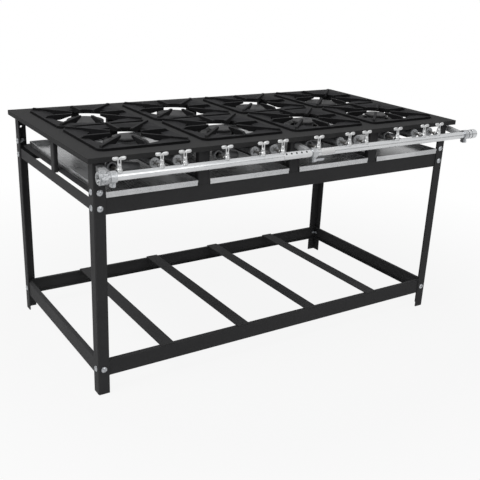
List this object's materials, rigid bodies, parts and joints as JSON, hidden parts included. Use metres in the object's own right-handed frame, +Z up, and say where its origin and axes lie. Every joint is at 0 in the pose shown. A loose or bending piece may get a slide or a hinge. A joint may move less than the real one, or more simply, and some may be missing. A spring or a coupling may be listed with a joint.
{
  "type": "commercial gas stove",
  "caption": "Open-stand commercial gas stove with cast grates over single and double burners, a front gas pipe with butterfly valves, slide-out drip trays and a slatted lower shelf.",
  "frame": {"origin": "on the floor, under the middle of the whole stove's box", "axes": "+X along the gas pipe from the inlet to the capped end, +Y from the valve side to the back, +Z up"},
  "size_m": [1.5744, 0.8533, 0.816],
  "materials": {
    "frame_paint": "semi-matt black stove paint",
    "cooktop_paint": "semi-matt black stove paint on the cooktop",
    "cast_iron": "rough black casting",
    "cast_iron_caps": "smooth machined casting",
    "stainless": "bright brushed sheet",
    "nickel": "bright nickel plate",
    "pipe_paint": "aluminium paint",
    "bracket_metal": "cast, aluminium paint",
    "brass": "dull machined brass",
    "zinc_sheet": "zinc plated",
    "zinc_bolts": "zinc plated"
  },
  "bodies": {
    "stove": {"cooktop_plate": "cooktop_paint", "grate_ledges": "frame_paint", "corner_stubs": "frame_paint", "upper_front_rail": "frame_paint", "upper_rear_rail": "frame_paint", "upper_side_rails": "frame_paint", "divider_posts": "frame_paint", "side_struts": "frame_paint", "tray_runners": "frame_paint", "leg_front_left": "frame_paint", "leg_front_right": "frame_paint", "leg_rear_left": "frame_paint", "leg_rear_right": "frame_paint", "lower_rails": "frame_paint", "shelf_slats": "frame_paint", "burner_front_1": "cast_iron", "burner_front_2": "cast_iron", "burner_front_3": "cast_iron", "burner_front_4": "cast_iron", "burner_rear_1": "cast_iron", "burner_rear_2": "cast_iron", "burner_rear_3": "cast_iron", "burner_rear_4": "cast_iron", "ring_caps": "cast_iron_caps", "center_caps": "cast_iron_caps", "rear_caps": "cast_iron_caps", "burner_bearers": "frame_paint", "gas_pipe": "pipe_paint", "pipe_end_fittings": "pipe_paint", "pipe_clamps": "bracket_metal", "pipe_arms": "bracket_metal", "valve_bodies": "brass", "injectors": "brass", "air_shutters": "zinc_sheet", "bolts": "zinc_bolts", "nuts": "zinc_bolts"},
    "drip_tray_1": {"drip_tray_1": "stainless"},
    "drip_tray_2": {"drip_tray_2": "stainless"},
    "drip_tray_3": {"drip_tray_3": "stainless"},
    "drip_tray_4": {"drip_tray_4": "stainless"},
    "grate_front_1": {"grate_front_1": "cast_iron"},
    "grate_front_2": {"grate_front_2": "cast_iron"},
    "grate_front_3": {"grate_front_3": "cast_iron"},
    "grate_front_4": {"grate_front_4": "cast_iron"},
    "grate_rear_1": {"grate_rear_1": "cast_iron"},
    "grate_rear_2": {"grate_rear_2": "cast_iron"},
    "grate_rear_3": {"grate_rear_3": "cast_iron"},
    "grate_rear_4": {"grate_rear_4": "cast_iron"},
    "valve_handle_1": {"valve_handle_1": "nickel"},
    "valve_handle_2": {"valve_handle_2": "nickel"},
    "valve_handle_3": {"valve_handle_3": "nickel"},
    "valve_handle_4": {"valve_handle_4": "nickel"},
    "valve_handle_5": {"valve_handle_5": "nickel"},
    "valve_handle_6": {"valve_handle_6": "nickel"},
    "valve_handle_7": {"valve_handle_7": "nickel"},
    "valve_handle_8": {"valve_handle_8": "nickel"},
    "valve_handle_9": {"valve_handle_9": "nickel"},
    "valve_handle_10": {"valve_handle_10": "nickel"},
    "valve_handle_11": {"valve_handle_11": "nickel"},
    "valve_handle_12": {"valve_handle_12": "nickel"}
  },
  "joints": [
    {"name": "drip_tray_1_slide", "type": "slide", "parent": "stove", "child": "drip_tray_1", "axis": [0, -1, 0], "range_m": [0, 0.45]},
    {"name": "drip_tray_2_slide", "type": "slide", "parent": "stove", "child": "drip_tray_2", "axis": [0, -1, 0], "range_m": [0, 0.45]},
    {"name": "drip_tray_3_slide", "type": "slide", "parent": "stove", "child": "drip_tray_3", "axis": [0, -1, 0], "range_m": [0, 0.45]},
    {"name": "drip_tray_4_slide", "type": "slide", "parent": "stove", "child": "drip_tray_4", "axis": [0, -1, 0], "range_m": [0, 0.45]},
    {"name": "grate_front_1_lift", "type": "slide", "parent": "stove", "child": "grate_front_1", "axis": [0, 0, 1], "range_m": [0, 0.15]},
    {"name": "grate_front_2_lift", "type": "slide", "parent": "stove", "child": "grate_front_2", "axis": [0, 0, 1], "range_m": [0, 0.15]},
    {"name": "grate_front_3_lift", "type": "slide", "parent": "stove", "child": "grate_front_3", "axis": [0, 0, 1], "range_m": [0, 0.15]},
    {"name": "grate_front_4_lift", "type": "slide", "parent": "stove", "child": "grate_front_4", "axis": [0, 0, 1], "range_m": [0, 0.15]},
    {"name": "grate_rear_1_lift", "type": "slide", "parent": "stove", "child": "grate_rear_1", "axis": [0, 0, 1], "range_m": [0, 0.15]},
    {"name": "grate_rear_2_lift", "type": "slide", "parent": "stove", "child": "grate_rear_2", "axis": [0, 0, 1], "range_m": [0, 0.15]},
    {"name": "grate_rear_3_lift", "type": "slide", "parent": "stove", "child": "grate_rear_3", "axis": [0, 0, 1], "range_m": [0, 0.15]},
    {"name": "grate_rear_4_lift", "type": "slide", "parent": "stove", "child": "grate_rear_4", "axis": [0, 0, 1], "range_m": [0, 0.15]},
    {"name": "valve_turn_1", "type": "hinge", "parent": "stove", "child": "valve_handle_1", "pos_m": [-0.71225, -0.404, 0.783], "axis": [0, 0, -1], "range_deg": [0, 90]},
    {"name": "valve_turn_2", "type": "hinge", "parent": "stove", "child": "valve_handle_2", "pos_m": [-0.57715, -0.404, 0.783], "axis": [0, 0, -1], "range_deg": [0, 90]},
    {"name": "valve_turn_3", "type": "hinge", "parent": "stove", "child": "valve_handle_3", "pos_m": [-0.49975, -0.404, 0.783], "axis": [0, 0, -1], "range_deg": [0, 90]},
    {"name": "valve_turn_4", "type": "hinge", "parent": "stove", "child": "valve_handle_4", "pos_m": [-0.35125, -0.404, 0.783], "axis": [0, 0, -1], "range_deg": [0, 90]},
    {"name": "valve_turn_5", "type": "hinge", "parent": "stove", "child": "valve_handle_5", "pos_m": [-0.21615, -0.404, 0.783], "axis": [0, 0, -1], "range_deg": [0, 90]},
    {"name": "valve_turn_6", "type": "hinge", "parent": "stove", "child": "valve_handle_6", "pos_m": [-0.13875, -0.404, 0.783], "axis": [0, 0, -1], "range_deg": [0, 90]},
    {"name": "valve_turn_7", "type": "hinge", "parent": "stove", "child": "valve_handle_7", "pos_m": [0.00975, -0.404, 0.783], "axis": [0, 0, -1], "range_deg": [0, 90]},
    {"name": "valve_turn_8", "type": "hinge", "parent": "stove", "child": "valve_handle_8", "pos_m": [0.14485, -0.404, 0.783], "axis": [0, 0, -1], "range_deg": [0, 90]},
    {"name": "valve_turn_9", "type": "hinge", "parent": "stove", "child": "valve_handle_9", "pos_m": [0.22225, -0.404, 0.783], "axis": [0, 0, -1], "range_deg": [0, 90]},
    {"name": "valve_turn_10", "type": "hinge", "parent": "stove", "child": "valve_handle_10", "pos_m": [0.37075, -0.404, 0.783], "axis": [0, 0, -1], "range_deg": [0, 90]},
    {"name": "valve_turn_11", "type": "hinge", "parent": "stove", "child": "valve_handle_11", "pos_m": [0.50585, -0.404, 0.783], "axis": [0, 0, -1], "range_deg": [0, 90]},
    {"name": "valve_turn_12", "type": "hinge", "parent": "stove", "child": "valve_handle_12", "pos_m": [0.58325, -0.404, 0.783], "axis": [0, 0, -1], "range_deg": [0, 90]}
  ]
}
